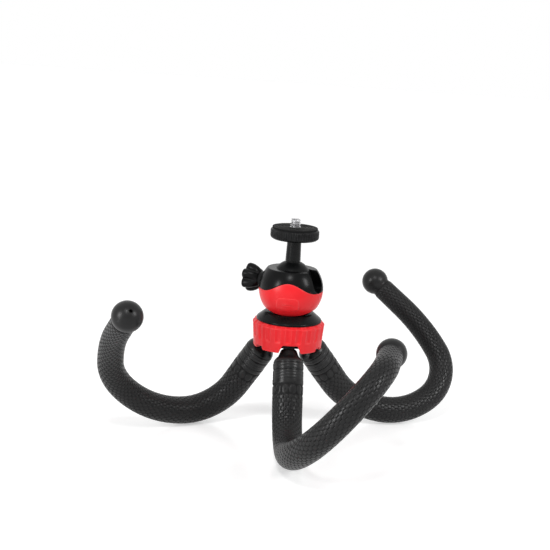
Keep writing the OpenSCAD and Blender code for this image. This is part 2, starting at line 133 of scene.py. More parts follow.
# The picture: where the camera stands and looks, in degrees, metres and pixels.
CAMERA_AZ, CAMERA_EL, CAMERA_ROLL = -5.4, 13.7, math.radians(4.0)
CAMERA_AWAY = 0.7
CAMERA_AIM_Z = 20
LAMP_AIM_Z = 10
FRAME_PX, FOCAL_PX, SHIFT_PX = 550, 1120, (-14.2, 39.3)
SENSOR = 36.0
FLOOR_SIZE = 6.0
FLOOR_Z = -0.0003


def head_matrix():
    """From head millimetres to the frame's metres."""
    flange_low, flange_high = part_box("base_flange")
    middle = (flange_low + flange_high) / 2
    return Matrix.Translation((middle.x, middle.y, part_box("ring")[0].z)) @ Matrix.Scale(MM, 4)


def turn(axis, degrees):
    return Matrix.Rotation(math.radians(degrees), 4, axis)


def along(distance):
    return Matrix.Translation((0, 0, distance))


def bow(bend, part):
    """Frame at a part of a bend's length, from the bend's start."""
    angle = math.radians(bend) * part
    radius = SECTION / math.radians(bend)
    place = (radius * (1 - math.cos(angle)), 0, radius * math.sin(angle))
    return Matrix.Translation(place) @ Matrix.Rotation(angle, 4, "Y")


HEAD = head_matrix()
KNOB = HEAD @ along(KNOB_Z) @ turn("Z", KNOB_AZ) @ turn("Y", 90)


class Leg:
    """Frames of one leg: its root, and the middle of each of its five sections."""

    def __init__(self, name):
        azimuth, self.rolls = LEG_WAYS[name]
        self.name = name
        self.bends = [-JOINTS[f"{name}_bend_{k}"]["range_deg"][0] for k in range(1, 5)]
        stand = HEAD @ turn("Z", azimuth) @ Matrix.Translation((PIVOT_R, 0, PIVOT_Z))
        first = along(COLLAR_LEN + SECTION / 2)
        local = (first @ self.bow_frame(1, 0.5)).translation
        seen = stand.inverted() @ Vector(JOINTS[f"{name}_bend_1"]["pos_m"])
        lean = math.atan2(seen.x, seen.z) - math.atan2(local.x, local.z)
        self.root = stand @ Matrix.Rotation(lean, 4, "Y")
        self.ends = [self.root @ first]
        for k in range(1, 5):
            self.ends.append(self.ends[-1] @ self.bow_frame(k, 1))
        for k in range(1, 5):
            built = (self.ends[k - 1] @ self.bow_frame(k, 0.5)).translation
            if (built - Vector(JOINTS[f"{name}_bend_{k}"]["pos_m"])).length > ROUTE_MISS:
                raise ValueError(f"the {name} leg's route misses its joint {k}")

    def bow_frame(self, k, part):
        roll = 180 - self.rolls[k - 1]
        return turn("Z", roll) @ bow(self.bends[k - 1], part) @ turn("Z", -roll)

    def body(self, k):
        return f"{self.name}_leg_{k}"


LEGS = [Leg(name) for name in LEG_WAYS]


def around(angle, count, shift=0.0):
    """Place across one of count equal parts round the axis, from -0.5 to 0.5."""
    part = angle / (2 * math.pi) * count - shift
    return part - math.floor(part) - 0.5


def smooth(low, high, x):
    """0 below low, 1 above high, eased between."""
    t = min(1.0, max(0.0, (x - low) / (high - low)))
    return t * t * (3 - 2 * t)


def eased(points, cut, parts=3):
    """Rounds a profile's inner corners. Each is cut back by at most cut, or by its own third number."""
    out = [tuple(points[0][:2])]
    for before, at, after in zip(points, points[1:], points[2:]):
        p0, p1, p2 = (Vector(p[:2]) for p in (before, at, after))
        size = at[2] if len(at) > 2 else cut
        back = min(size, 0.48 * (p0 - p1).length)
        on = min(size, 0.48 * (p2 - p1).length)
        if size <= 0:
            out.append(tuple(p1))
            continue
        start, end = p1.lerp(p0, back / (p0 - p1).length), p1.lerp(p2, on / (p2 - p1).length)
        for i in range(parts + 1):
            t = i / parts
            out.append(tuple(start.lerp(p1, t).lerp(p1.lerp(end, t), t)))
    out.append(tuple(points[-1][:2]))
    return out


def arc(radius, middle_z, start, end, parts):
    """Points of a round profile, by angles from the horizontal in degrees."""
    angles = [math.radians(start + (end - start) * i / parts) for i in range(parts + 1)]
    return [(radius * math.cos(a), middle_z + radius * math.sin(a)) for a in angles]


def turned(profile, steps, closed=False):
    """Spins a profile of (radius, height) points round Z. Each vertex keeps the row it came from."""
    bm = bmesh.new()
    row = bm.verts.layers.int.new("row")
    verts = []
    for i, (r, z) in enumerate(profile):
        vert = bm.verts.new((r, 0, z))
        vert[row] = i
        verts.append(vert)
    pairs = list(zip(verts, verts[1:])) + ([(verts[-1], verts[0])] if closed else [])
    edges = [bm.edges.new(pair) for pair in pairs]
    bmesh.ops.spin(bm, geom=verts + edges, axis=(0, 0, 1), cent=(0, 0, 0), angle=2 * math.pi,
                   steps=steps, use_merge=True, use_duplicate=False)
    tidy(bm)
    return bm


def face_out(bm):
    bmesh.ops.recalc_face_normals(bm, faces=bm.faces[:])


def tidy(bm):
    bmesh.ops.remove_doubles(bm, verts=bm.verts[:], dist=1e-4)
    face_out(bm)


def shape(bm, place):
    """Moves each vertex to place(row, angle, radius, height), and turns the faces outward."""
    row = bm.verts.layers.int["row"]
    for vert in bm.verts:
        x, y, z = vert.co
        vert.co = place(vert[row], math.atan2(y, x), math.hypot(x, y), z)
    face_out(bm)


def polar(radius, angle, z):
    return Vector((radius * math.cos(angle), radius * math.sin(angle), z))


def mesh_from(name, bm):
    mesh = bpy.data.meshes.new(name)
    bm.to_mesh(mesh)
    bm.free()
    return mesh


def new_object(name, data):
    obj = bpy.data.objects.new(name, data)
    bpy.context.scene.collection.objects.link(obj)
    return obj


def joined(*parts):
    """One bmesh of several closed shells."""
    bm = parts[0]
    for other in parts[1:]:
        mesh = mesh_from("part", other)
        bm.from_mesh(mesh)
        bpy.data.meshes.remove(mesh)
    return bm


def mark_edges(bm):
    """Writes how sharply each vertex stands out, which the finishes read as wear."""
    edge = bm.verts.layers.float.get("edge") or bm.verts.layers.float.new("edge")
    for vert in bm.verts:
        angles = [e.calc_face_angle_signed(0.0) for e in vert.link_edges]
        vert[edge] = min(1.0, max(0.0, max(angles, default=0.0) / 0.5))


def piece(name, bm, matrix, finish, body=None, replaces=(), sharp=40):
    """Makes the piece's object from a bmesh in millimetres, and ties it to the frame."""
    mark_edges(bm)
    bmesh.ops.transform(bm, matrix=matrix, verts=bm.verts[:])
    mesh = mesh_from(name, bm)
    mesh.shade_smooth()
    mesh.set_sharp_from_angle(angle=math.radians(sharp))
    mesh.materials.append(bpy.data.materials[finish])
    obj = new_object(name, mesh)
    if body:
        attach(obj, body)
    if replaces:
        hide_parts(*replaces)
    return obj


# Node trees.
def add(tree, kind, inputs=None, **settings):
    """A new node with its settings, and its inputs set to values or linked to sockets."""
    made = tree.nodes.new(kind)
    for name, value in settings.items():
        setattr(made, name, value)
    for name, value in (inputs or {}).items():
        if isinstance(value, bpy.types.NodeSocket):
            tree.links.new(value, made.inputs[name])
        else:
            made.inputs[name].default_value = value
    return made


def math_node(tree, operation, a, b=0.0):
    return add(tree, "ShaderNodeMath", {0: a, 1: b}, operation=operation).outputs[0]


def blend_value(tree, mask, a, b):
    return add(tree, "ShaderNodeMix", {0: mask, 2: a, 3: b}, data_type="FLOAT").outputs[0]


def blend_colour(tree, mask, a, b):
    return add(tree, "ShaderNodeMix", {0: mask, 6: a, 7: b}, data_type="RGBA").outputs[2]


def map_range(tree, value, low, high, to_low=0.0, to_high=1.0):
    return add(tree, "ShaderNodeMapRange", {"Value": value, "From Min": low, "From Max": high,
                                            "To Min": to_low, "To Max": to_high}).outputs["Result"]


def noise(tree, vector, scale, detail):
    return add(tree, "ShaderNodeTexNoise",
               {"Vector": vector, "Scale": scale, "Detail": detail}).outputs["Fac"]


def new_group(name, inputs, outputs):
    group = bpy.data.node_groups.new(name, "ShaderNodeTree")
    for way, sockets in (("INPUT", inputs), ("OUTPUT", outputs)):
        for title, kind in sockets:
            group.interface.new_socket(title, in_out=way, socket_type=f"NodeSocket{kind}")
    return group, add(group, "NodeGroupInput").outputs, add(group, "NodeGroupOutput").inputs


def make_grain_group():
    """Fine moulded grain: a bump height, and a slow tone that varies over the surface."""
    group, given, out = new_group("moulded_grain", (("Vector", "Vector"), ("Scale", "Float")),
                                  (("Height", "Float"), ("Tone", "Float")))
    slow_scale = math_node(group, "MULTIPLY", given["Scale"], 0.035)
    group.links.new(noise(group, given["Vector"], given["Scale"], 3.0), out["Height"])
    group.links.new(noise(group, given["Vector"], slow_scale, 4.0), out["Tone"])


def make_film_group(name, film, mask_of):
    """A group that lays a film's colour over another, where mask_of(group, vector) puts it."""
    group, given, out = new_group(
        name, (("Vector", "Vector"), ("Color", "Color"), (film, "Color"), ("Amount", "Float")),
        (("Color", "Color"), ("Mask", "Float")))
    mask = math_node(group, "MULTIPLY", mask_of(group, given["Vector"]), given["Amount"])
    group.links.new(blend_colour(group, mask, given["Color"], given[film]), out["Color"])
    group.links.new(mask, out["Mask"])


def worn_corners(group, vector):
    """Corners that stand out, broken up by noise."""
    edge = add(group, "ShaderNodeAttribute", attribute_name="edge").outputs["Fac"]
    broken = map_range(group, noise(group, vector, 420.0, 5.0), 0.35, 0.7, 0.25)
    return math_node(group, "MULTIPLY", edge, broken)


def dusty_tops(group, vector):
    """Faces that look up, in patches."""
    normal = add(group, "ShaderNodeNewGeometry").outputs["Normal"]
    up = add(group, "ShaderNodeSeparateXYZ", {"Vector": normal}).outputs["Z"]
    patches = map_range(group, noise(group, vector, 90.0, 6.0), 0.4, 0.75)
    return math_node(group, "MULTIPLY", map_range(group, up, 0.1, 1.0), patches)


def use_group(tree, name, **inputs):
    inputs = {title.replace("_", " "): value for title, value in inputs.items()}
    return add(tree, "ShaderNodeGroup", inputs, node_tree=bpy.data.node_groups[name]).outputs


DUST_COLOUR = (0.32, 0.31, 0.29, 1.0)
WORN_ROUGHER = 0.15
DUST_ROUGHER = 0.3


def new_finish(name, colour, rough, grain=900.0, bump=0.05, metallic=0.0, specular=0.5,
               worn=None, wear=0.0, dust=0.0, tone=0.12, relief=None):
    """A finish from the shared groups. relief gives the colour and roughness in a surface's grooves, where
    the darker colour is painted shade.
    """
    material = bpy.data.materials.new(name)
    material.use_nodes = True
    tree = material.node_tree
    shader = tree.nodes["Principled BSDF"]
    vector = add(tree, "ShaderNodeTexCoord").outputs["Object"]
    grained = use_group(tree, "moulded_grain", Vector=vector, Scale=grain)
    deep = tuple(c * (1 - tone) for c in colour)
    base = blend_colour(tree, grained["Tone"], (*deep, 1.0), (*colour, 1.0))
    roughness = map_range(tree, grained["Tone"], 0.3, 0.7, rough * 0.88, rough * 1.1)
    # Low relief takes the darker groove colour: painted shade in the recesses between the scales.
    if relief:
        groove, groove_rough = relief
        raised = add(tree, "ShaderNodeAttribute", attribute_name="relief").outputs["Fac"]
        base = blend_colour(tree, raised, (*groove, 1.0), base)
        roughness = blend_value(tree, raised, groove_rough, roughness)
    films = []
    if wear:
        films.append((WORN_ROUGHER, "corner_wear", {"Worn_Color": (*worn, 1.0), "Amount": wear}))
    if dust:
        films.append((DUST_ROUGHER, "dust_film", {"Dust_Color": DUST_COLOUR, "Amount": dust}))
    for rougher, film, given in films:
        laid = use_group(tree, film, Vector=vector, Color=base, **given)
        base = laid["Color"]
        roughness = math_node(tree, "ADD", roughness, math_node(tree, "MULTIPLY", laid["Mask"], rougher))
    bumped = add(tree, "ShaderNodeBump", {"Height": grained["Height"], "Strength": bump, "Distance": 0.0002})
    for title, socket in (("Base Color", base), ("Roughness", roughness), ("Normal", bumped.outputs[0])):
        tree.links.new(socket, shader.inputs[title])
    shader.inputs["Metallic"].default_value = metallic
    shader.inputs["Specular IOR Level"].default_value = specular


# Settings.
def size_property(name, description, default, low, high):
    return FloatProperty(name=name, description=f"{description}, in millimetres", default=default,
                         min=low, max=high)


def count_property(name, description, default, low, high):
    return IntProperty(name=name, description=description, default=default, min=low, max=high)


def colour_property(name, description, default):
    return FloatVectorProperty(name=name, description=description, subtype="COLOR", size=3, min=0,
                               max=1, default=default)


def power_property(name, place, default):
    return FloatProperty(name=name, description=f"Power of the lamp {place}, in watts", default=default,
                         unit="POWER")


class StandLegSettings(bpy.types.PropertyGroup):
    """Sizes of the legs' rubber."""

    top_r: size_property("Sleeve radius at collar", "Radius next to the collar", 9.45, 9.0, 9.6)
    end_r: size_property("Sleeve radius at foot", "Radius next to the foot", 7.2, 7.0, 8.0)
    scales: count_property("Scales round", "Moulded scales round a sleeve", 18, 12, 26)
    rows: count_property("Rows", "Rows of scales in one section", 16, 10, 22)
    relief: size_property("Scale height", "Height of the scales", 0.45, 0.0, 0.8)
    scallops: count_property("Scallops", "Large scallops next to the collar", 12, 6, 18)
    foot_r: size_property("Foot radius", "Radius of the ball foot", 9.0, 8.0, 9.2)
    vent_r: size_property("Vent radius", "Radius of the hole in the foot", 0.95, 0.4, 1.1)


class StandHeadSettings(bpy.types.PropertyGroup):
    """Sizes of the head's small forms."""

    flutes: count_property("Flutes", "Grip flutes round the ring", 21, 15, 27)
    flute_depth: size_property("Flute depth", "Depth of a flute", 0.6, 0.0, 0.9)
    knurls: count_property("Knurls", "Knurls round the seat disc", 60, 40, 72)
    knurl_depth: size_property("Knurl depth", "Depth of a knurl", 0.3, 0.0, 0.4)
    lobes: count_property("Knob lobes", "Lobes of the knob", 6, 4, 8)
    pitch: size_property("Thread pitch", "Pitch of the camera screw", 1.27, 0.8, 1.6)


class StandFinishSettings(bpy.types.PropertyGroup):
    """Colours of the finishes."""

    red: colour_property("Red plastic", "Colour of the ring and the cover", (0.80, 0.012, 0.018))
    black: colour_property("Black plastic", "Colour of the housing, flange and collars",
                           (0.0025, 0.0027, 0.0029))
    rubber: colour_property("Rubber", "Colour of the tops of the sleeves' scales", (0.012, 0.012, 0.0123))
    # The groove colour is painted shade between the sleeves' scales, and is also the grooved pad's own
    # rubber colour.
    groove: colour_property("Rubber grooves", "Colour between the scales", (0.003, 0.003, 0.0031))
    foot: colour_property("Foot rubber", "Colour of the ball feet", (0.010, 0.010, 0.0103))
    steel: colour_property("Steel", "Colour of screws, pins and washers", (0.60, 0.60, 0.61))
    brass: colour_property("Brass", "Colour of the insert and the shoe", (0.72, 0.52, 0.22))


class StandStageSettings(bpy.types.PropertyGroup):
    """Light and floor."""

    key: power_property("Key lamp", "on the left", 4.6)
    fill: power_property("Fill lamp", "on the right", 4.0)
    top: power_property("Top lamp", "above the camera", 2.6)
    world: FloatProperty(name="Room light", description="Strength of the light from all round",
                         default=0.28)
    floor: colour_property("Floor", "Colour of the floor", (0.88, 0.88, 0.88))
    lift: FloatProperty(name="Floor lift", description="Own light of the floor as the camera sees it",
                        default=0.46)


SETTINGS = (
    ("stand_legs", StandLegSettings),
    ("stand_head", StandHeadSettings),
    ("stand_finish", StandFinishSettings),
    ("stand_stage", StandStageSettings),
)


class STAND_OT_finishes(bpy.types.Operator):
    """Makes the finishes that the pieces use"""

    bl_idname = "stand.finishes"
    bl_label = "Finishes"

    def execute(self, context):
        c = context.scene.stand_finish
        make_grain_group()
        make_film_group("corner_wear", "Worn Color", worn_corners)
        make_film_group("dust_film", "Dust Color", dusty_tops)
        new_finish("red_satin", c.red, 0.36, bump=0.04, worn=(0.9, 0.14, 0.14), wear=0.45, dust=0.03,
                   tone=0.08, specular=0.3)
        new_finish("black_gloss", c.black, 0.25, bump=0.05, worn=(0.05, 0.05, 0.052), wear=0.3,
                   dust=0.01, specular=0.10)
        new_finish("black_satin", c.black, 0.30, bump=0.10, worn=(0.05, 0.05, 0.052), wear=0.4,
                   dust=0.02, specular=0.10)
        new_finish("collar_black", c.black, 0.30, bump=0.08, worn=(0.055, 0.055, 0.057), wear=0.5,
                   dust=0.03, specular=0.26)
        new_finish("black_coated_metal", c.black, 0.26, bump=0.06, worn=(0.08, 0.08, 0.08), wear=0.3,
                   specular=0.14)
        # The scaled rubber darkens its grooves with the groove colour, which is painted shade.
        new_finish("scaled_rubber", c.rubber, 0.30, grain=2600.0, bump=0.25, dust=0.02, tone=0.2,
                   specular=0.20, relief=(tuple(c.groove), 0.7))
        new_finish("ball_foot_rubber", c.foot, 0.34, grain=2200.0, bump=0.2, dust=0.02, tone=0.15,
                   specular=0.20)
        new_finish("grooved_rubber", c.groove, 0.7, grain=2400.0, bump=0.3, dust=0.1, specular=0.15)
        new_finish("bright_steel", c.steel, 0.28, grain=1400.0, bump=0.04, metallic=1.0, tone=0.15)
        new_finish("core_wire", (0.42, 0.42, 0.43), 0.42, grain=1400.0, bump=0.08, metallic=1.0,
                   tone=0.2)
        new_finish("brass_turned", c.brass, 0.32, grain=1400.0, bump=0.05, metallic=1.0, tone=0.15)
        new_finish("cup_plastic", (0.72, 0.71, 0.67), 0.42, bump=0.05)
        return {"FINISHED"}


def sleeve_radius(legs, s):
    return legs.top_r + (legs.end_r - legs.top_r) * s / SLEEVE_LEN


def sleeve_height(legs, s, angle):
    """Height of the sleeve's surface at s from the collar: 0 in a groove and 1 on a scale."""
    row_len = SECTION / legs.rows
    first = SCALLOP_ROWS * row_len
    if s < first:
        middle, half = 0.66 * first, 0.34 * first
        across = 2 * around(angle, legs.scallops)
        dome = 1 - 0.9 * across * across - ((s - middle) / half) ** 2
        band = 1 - smooth(0.24 * first, 0.34 * first, s)
        return max(band, smooth(0.0, PLATE_EDGE, dome))
    pitch = 2 * math.pi * sleeve_radius(legs, s) / legs.scales
    at = s / row_len
    best = 0.0
    for row in range(max(SCALLOP_ROWS, int(at) - 1), int(at) + 2):
        across = around(angle, legs.scales, 0.5 * (row % 2)) * pitch
        down = (at - row - 0.5) * row_len
        best = max(best, 1 - (across / (SCALE_WIDE * pitch)) ** 2 - (down / (SCALE_LONG * row_len)) ** 2)
    return smooth(0.0, PLATE_EDGE, best) * (1 - smooth(SLEEVE_LEN - 2.2, SLEEVE_LEN - 0.8, s))


def tube(start, length, roll, bend, legs):
    """A stretch of sleeve with its bore, from s = start. bend is in degrees, 0 for a straight one."""
    bm = bmesh.new()
    relief = bm.verts.layers.float.new("relief")
    steps = max(4, round(length / SECTION * legs.rows * ROW_STEPS))
    bow_r = length / math.radians(bend) if bend else 0.0
    rims = []
    for radius, count in ((legs.top_r, steps), (BORE_R, max(6, steps // 8))):
        ring = bmesh.ops.create_circle(bm, segments=SLEEVE_COLUMNS, radius=radius)["verts"]
        bmesh.ops.rotate(bm, verts=ring, cent=(0, 0, 0), matrix=Matrix.Rotation(-roll, 3, "Z"))
        rim = list({edge for vert in ring for edge in vert.link_edges})
        last = bmesh.ops.spin(bm, geom=ring + rim, axis=(0, 1, 0) if bend else (0, 0, 1),
                              cent=(bow_r, 0, 0), angle=math.radians(bend), steps=count,
                              dvec=(0, 0, 0 if bend else length / count), use_duplicate=False)
        rims.append((rim, [part for part in last["geom_last"] if isinstance(part, bmesh.types.BMEdge)]))
    # Flat ends: each outer rim is drawn in to the bore's rim and joined to it.
    inward = Matrix.Diagonal((BORE_R / legs.top_r, BORE_R / legs.top_r, 1, 1))
    for edges, on in zip(rims[0], (Matrix.Identity(4), bow(bend, 1) if bend else along(length))):
        lip = bmesh.ops.extrude_edge_only(bm, edges=edges)["geom"]
        bmesh.ops.transform(bm, matrix=on @ inward @ on.inverted(),
                            verts=[part for part in lip if isinstance(part, bmesh.types.BMVert)])
    bmesh.ops.remove_doubles(bm, verts=bm.verts[:], dist=1e-3)
    for vert in bm.verts:
        x, y, z = vert.co
        if bend:
            angle = math.atan2(z, bow_r - x)
            on = bow(bend, angle / math.radians(bend))
            s = start + bow_r * angle
        else:
            on = along(z)
            s = start + z
        local = on.inverted() @ vert.co
        if math.hypot(local.x, local.y) < BORE_R + 1:
            continue
        way = math.atan2(local.y, local.x)
        height = sleeve_height(legs, s, way + roll)
        radius = sleeve_radius(legs, s) + (height - SURFACE_SHARE) * legs.relief
        # The height also goes to the relief attribute, which the rubber finish reads to paint shade into the
        # grooves.
        vert[relief] = height
        vert.co = on @ polar(radius, way, 0)
    face_out(bm)
    return bm


class STAND_OT_sleeves(bpy.types.Operator):
    """Builds the scaled rubber sleeves, with one bowed piece for each joint of a leg"""

    bl_idname = "stand.sleeves"
    bl_label = "Rubber sleeves"

    def execute(self, context):
        legs = context.scene.stand_legs
        half = SECTION / 2
        for leg in LEGS:
            name = leg.name
            piece(f"{name}_rubber_root", tube(0.0, half, 0.0, 0, legs), leg.root @ along(COLLAR_LEN),
                  "scaled_rubber", leg.body(1), [f"{name}_sleeve_1"])
            for k in range(1, 5):
                roll = math.radians(180 - leg.rolls[k - 1])
                at = leg.ends[k - 1] @ Matrix.Rotation(roll, 4, "Z")
                bm = tube(half + (k - 1) * SECTION, SECTION, roll, leg.bends[k - 1], legs)
                obj = piece(f"{name}_rubber_bend_{k}", bm, at, "scaled_rubber",
                            None, [f"{name}_sleeve_{k + 1}"])
                start, end = at.translation, leg.ends[k].translation
                leg.body(k)
                leg.body(k + 1)
                start.lerp(end, 0.2)
                start.lerp(end, 0.8)
                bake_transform(obj)
            piece(f"{name}_rubber_end", tube(SLEEVE_LEN - half, half, 0.0, 0, legs), leg.ends[4],
                  "scaled_rubber", leg.body(5))
        return {"FINISHED"}


class STAND_OT_feet(bpy.types.Operator):
    """Builds the ball feet with their vent holes"""

    bl_idname = "stand.feet"
    bl_label = "Ball feet"

    def execute(self, context):
        legs = context.scene.stand_legs
        r, vent = legs.foot_r, legs.vent_r
        begin = math.degrees(math.asin((1.15 - FOOT_SET) / r))
        stop = math.degrees(math.acos((vent + 0.35) / r))
        top = FOOT_SET + math.sqrt(r * r - vent * vent)
        profile = [(0, -0.8), (5.6, -0.8), (6.6, -0.75), (6.95, -0.35), (6.95, 0.1), (7.05, 0.5),
                   (7.25, 0.85)]
        profile += arc(r, FOOT_SET, begin, stop, 40)
        profile += [(vent + 0.12, top - 0.06), (vent, top - 0.25), (vent, top - 2.6),
                    (vent * 0.6, top - 2.9), (0, top - 3.0)]
        for leg in LEGS:
            piece(f"{leg.name}_ball_foot", turned(profile, 96), leg.ends[4] @ along(SECTION / 2),
                  "ball_foot_rubber", leg.body(5), [f"{leg.name}_foot"])
        return {"FINISHED"}


class STAND_OT_collars(bpy.types.Operator):
    """Builds the ribbed collars at the tops of the legs, with their root eyes"""

    bl_idname = "stand.collars"
    bl_label = "Collars"

    def execute(self, context):
        groove, lip = 0.55, 0.14
        reach = COLLAR_R - 0.2 - NECK_R
        flare = ((4.8, 0.0), (5.6, 0.125), (7.0, 0.23), (8.2, 0.333), (9.2, 0.4375), (10.2, 0.646),
                 (11.4, 0.875), (12.8, 1.0))
        neck = [(NECK_R + reach * part, z) for z, part in flare]
        neck = [(0, 4.8)] + neck + [(COLLAR_R - 0.2, COLLAR_BANDS[0])]
        profile = eased(neck, 0.9, 5)
        for (low, high), count in zip(zip(COLLAR_BANDS, COLLAR_BANDS[1:]), (2, 3)):
            ribs = [(COLLAR_R - groove, low + 0.1), (COLLAR_R - groove, low + 0.5),
                    (COLLAR_R - 0.1, low + 0.75)]
            width = (high - low - 1.2) / count
            for i in range(count):
                rib = low + 0.95 + i * width
                ribs += [(COLLAR_R, rib), (COLLAR_R, rib + width - 0.32),
                         (COLLAR_R - lip, rib + width - 0.16)]
            profile += eased([profile[-1]] + ribs + [(COLLAR_R - 0.12, high)], 0.12, 2)[1:]
        profile += [(COLLAR_R - 0.5, COLLAR_LEN + 0.02), (0, COLLAR_LEN + 0.02)]
        for leg in LEGS:
            eye = bmesh.new()
            bmesh.ops.create_cone(eye, cap_ends=True, segments=64, radius1=3.8, radius2=3.8, depth=6.6,
                                  matrix=turn("X", 90))
            block = bmesh.new()
            bmesh.ops.create_cube(block, size=1, matrix=along(3.0) @ Matrix.Diagonal((6.4, 6.6, 6.0, 1)))
            bmesh.ops.bevel(block, geom=block.edges[:], offset=0.25, segments=2, profile=0.5,
                            affect="EDGES", material=-1)
            bm = joined(turned(profile, 128), eye, block)
            piece(f"{leg.name}_ribbed_collar", bm, leg.root, "collar_black",
                  leg.body(1), [f"{leg.name}_collar"])
        return {"FINISHED"}


# Outlines of an arch over a leg and of a notch between legs: distance from the middle, and height.
ARCH = ((0, 5), (4.0, 5), (4.5, 4.8), (4.9, 4.5), (5.4, 3.6), (6.7, 0.35), (7.1, 0))
NOTCH = ((0, 2), (2.3, 2), (2.75, 1.8), (3.25, 0.5), (3.7, 0))


def level(offset, outline):
    for (d0, z0), (d1, z1) in zip(outline, outline[1:]):
        if offset <= d1:
            return z0 + (z1 - z0) * (offset - d0) / (d1 - d0)
    return 0.0


def arch_height(angle, radius):
    """Height of the ring's lower edge, over the legs' arches and the notches between them."""
    height = 0.0
    for leg_az, _ in LEG_WAYS.values():
        for az, outline in ((leg_az, ARCH), (leg_az + 60, NOTCH)):
            away = angle - math.radians(az)
            if math.cos(away) > 0:
                height = max(height, level(abs(radius * math.sin(away)), outline))
    return height


class STAND_OT_ring(bpy.types.Operator):
    """Builds the fluted grip ring with its arches over the legs"""

    bl_idname = "stand.ring"
    bl_label = "Grip ring"

    def execute(self, context):
        head = context.scene.stand_head
        inner = HUB_R + 0.05
        ledge_r, ledge_z, rows = 16.55, 10.15, 26
        wall = [(RING_LOW_R + (RING_TOP_R - RING_LOW_R) * i / rows, 0.6 + (RING_H - 2.3) * i / rows)
                for i in range(rows + 1)]
        outer = eased([(inner + 0.5, 0.0), (RING_LOW_R - 0.1, 0.0, 0.6), wall[0]], 0.5) + wall[1:]
        top = eased([wall[-2], (*wall[-1], 0.35), (RING_TOP_R - 0.6, RING_H - 1.1, 0.4),
                     (RING_TOP_R - 1.9, RING_H, 0.4), (inner, RING_H, 0.0), (inner, ledge_z, 0.0),
                     (ledge_r, ledge_z, 0.1), (ledge_r, 8.2, 0.1), (inner, 6.6, 0.1), (inner, 0.3)], 0.5, 4)
        profile = outer[:-2] + top
        bm = turned(profile, head.flutes * 24, closed=True)
        scoop = math.pi * RING_TOP_R / head.flutes

        def place(row, angle, r, z):
            low = arch_height(angle, r)
            z = low + z * (1 - low / RING_H)
            if r > RING_LOW_R - 0.4:
                offset = around(angle, head.flutes) * 2 * math.pi * r / head.flutes
                cut = math.sqrt(max(0.0, scoop ** 2 - offset ** 2)) - (scoop - head.flute_depth)
                r -= max(0.0, cut) * smooth(6.2, 7.6, z)
            return polar(r, angle, z)

        shape(bm, place)
        piece("fluted_ring", bm, HEAD, "red_satin", "base", ["ring"], 35)
        return {"FINISHED"}


class STAND_OT_flange(bpy.types.Operator):
    """Builds the sloping flange between the ring and the ball housing"""

    bl_idname = "stand.flange"
    bl_label = "Base flange"

    def execute(self, context):
        foot_r, top, floor = 20.3, RING_H + 5.3, FLAT_Z - 0.05
        profile = eased([(0, RING_H), (foot_r, RING_H, 0.4), (foot_r, RING_H + 1.15, 0.45),
                         (foot_r - 0.6, RING_H + 1.75, 0.5), (15.7, top - 0.3, 0.6), (15.0, top, 0.4),
                         (13.9, top, 0.2), (10.5, floor, 0.2), (0, floor)], 0.4, 5)
        piece("sloped_flange", turned(profile, 192), HEAD, "black_gloss", "base",
              ["base_flange"])
        return {"FINISHED"}


def cover_top(x):
    return HOUSING_Z + 6.5 * (1 + math.cos(math.pi * min(1, abs(x) / 17.3))) / 2


def cover_low(x):
    return HOUSING_Z - 15 + 4 * (x / 16.7) ** 2


def on_sphere(z, radius=HOUSING_R):
    return math.sqrt(max(0.0, radius * radius - (z - HOUSING_Z) ** 2))


def cover_edge(angle, edge):
    """Height of the cover's edge in one direction, where it meets the round housing."""
    z = HOUSING_Z
    for _ in range(24):
        z = edge(on_sphere(z) * math.cos(angle + COVER_TURN))
    return z


def cover_upper(angle):
    """The upper edge, with its dip round the knob's boss."""
    z = cover_edge(angle, cover_top)
    away = math.radians(KNOB_AZ) - angle
    offset = HOUSING_R * math.sin(away)
    dip = BOSS_R + 0.05
    if math.cos(away) > 0 and abs(offset) < dip:
        z = min(z, KNOB_Z - math.sqrt(dip ** 2 - offset ** 2))
    return z


def on_shell(low, high, share, angle, radius, depth=0.0):
    """Point on a sphere round the housing's centre, a share of the way up between two heights."""
    a, b = (math.asin((z - HOUSING_Z) / radius) for z in (low, high))
    tilt = a + (b - a) * share
    radius -= depth
    return polar(radius * math.cos(tilt), angle, HOUSING_Z + radius * math.sin(tilt))


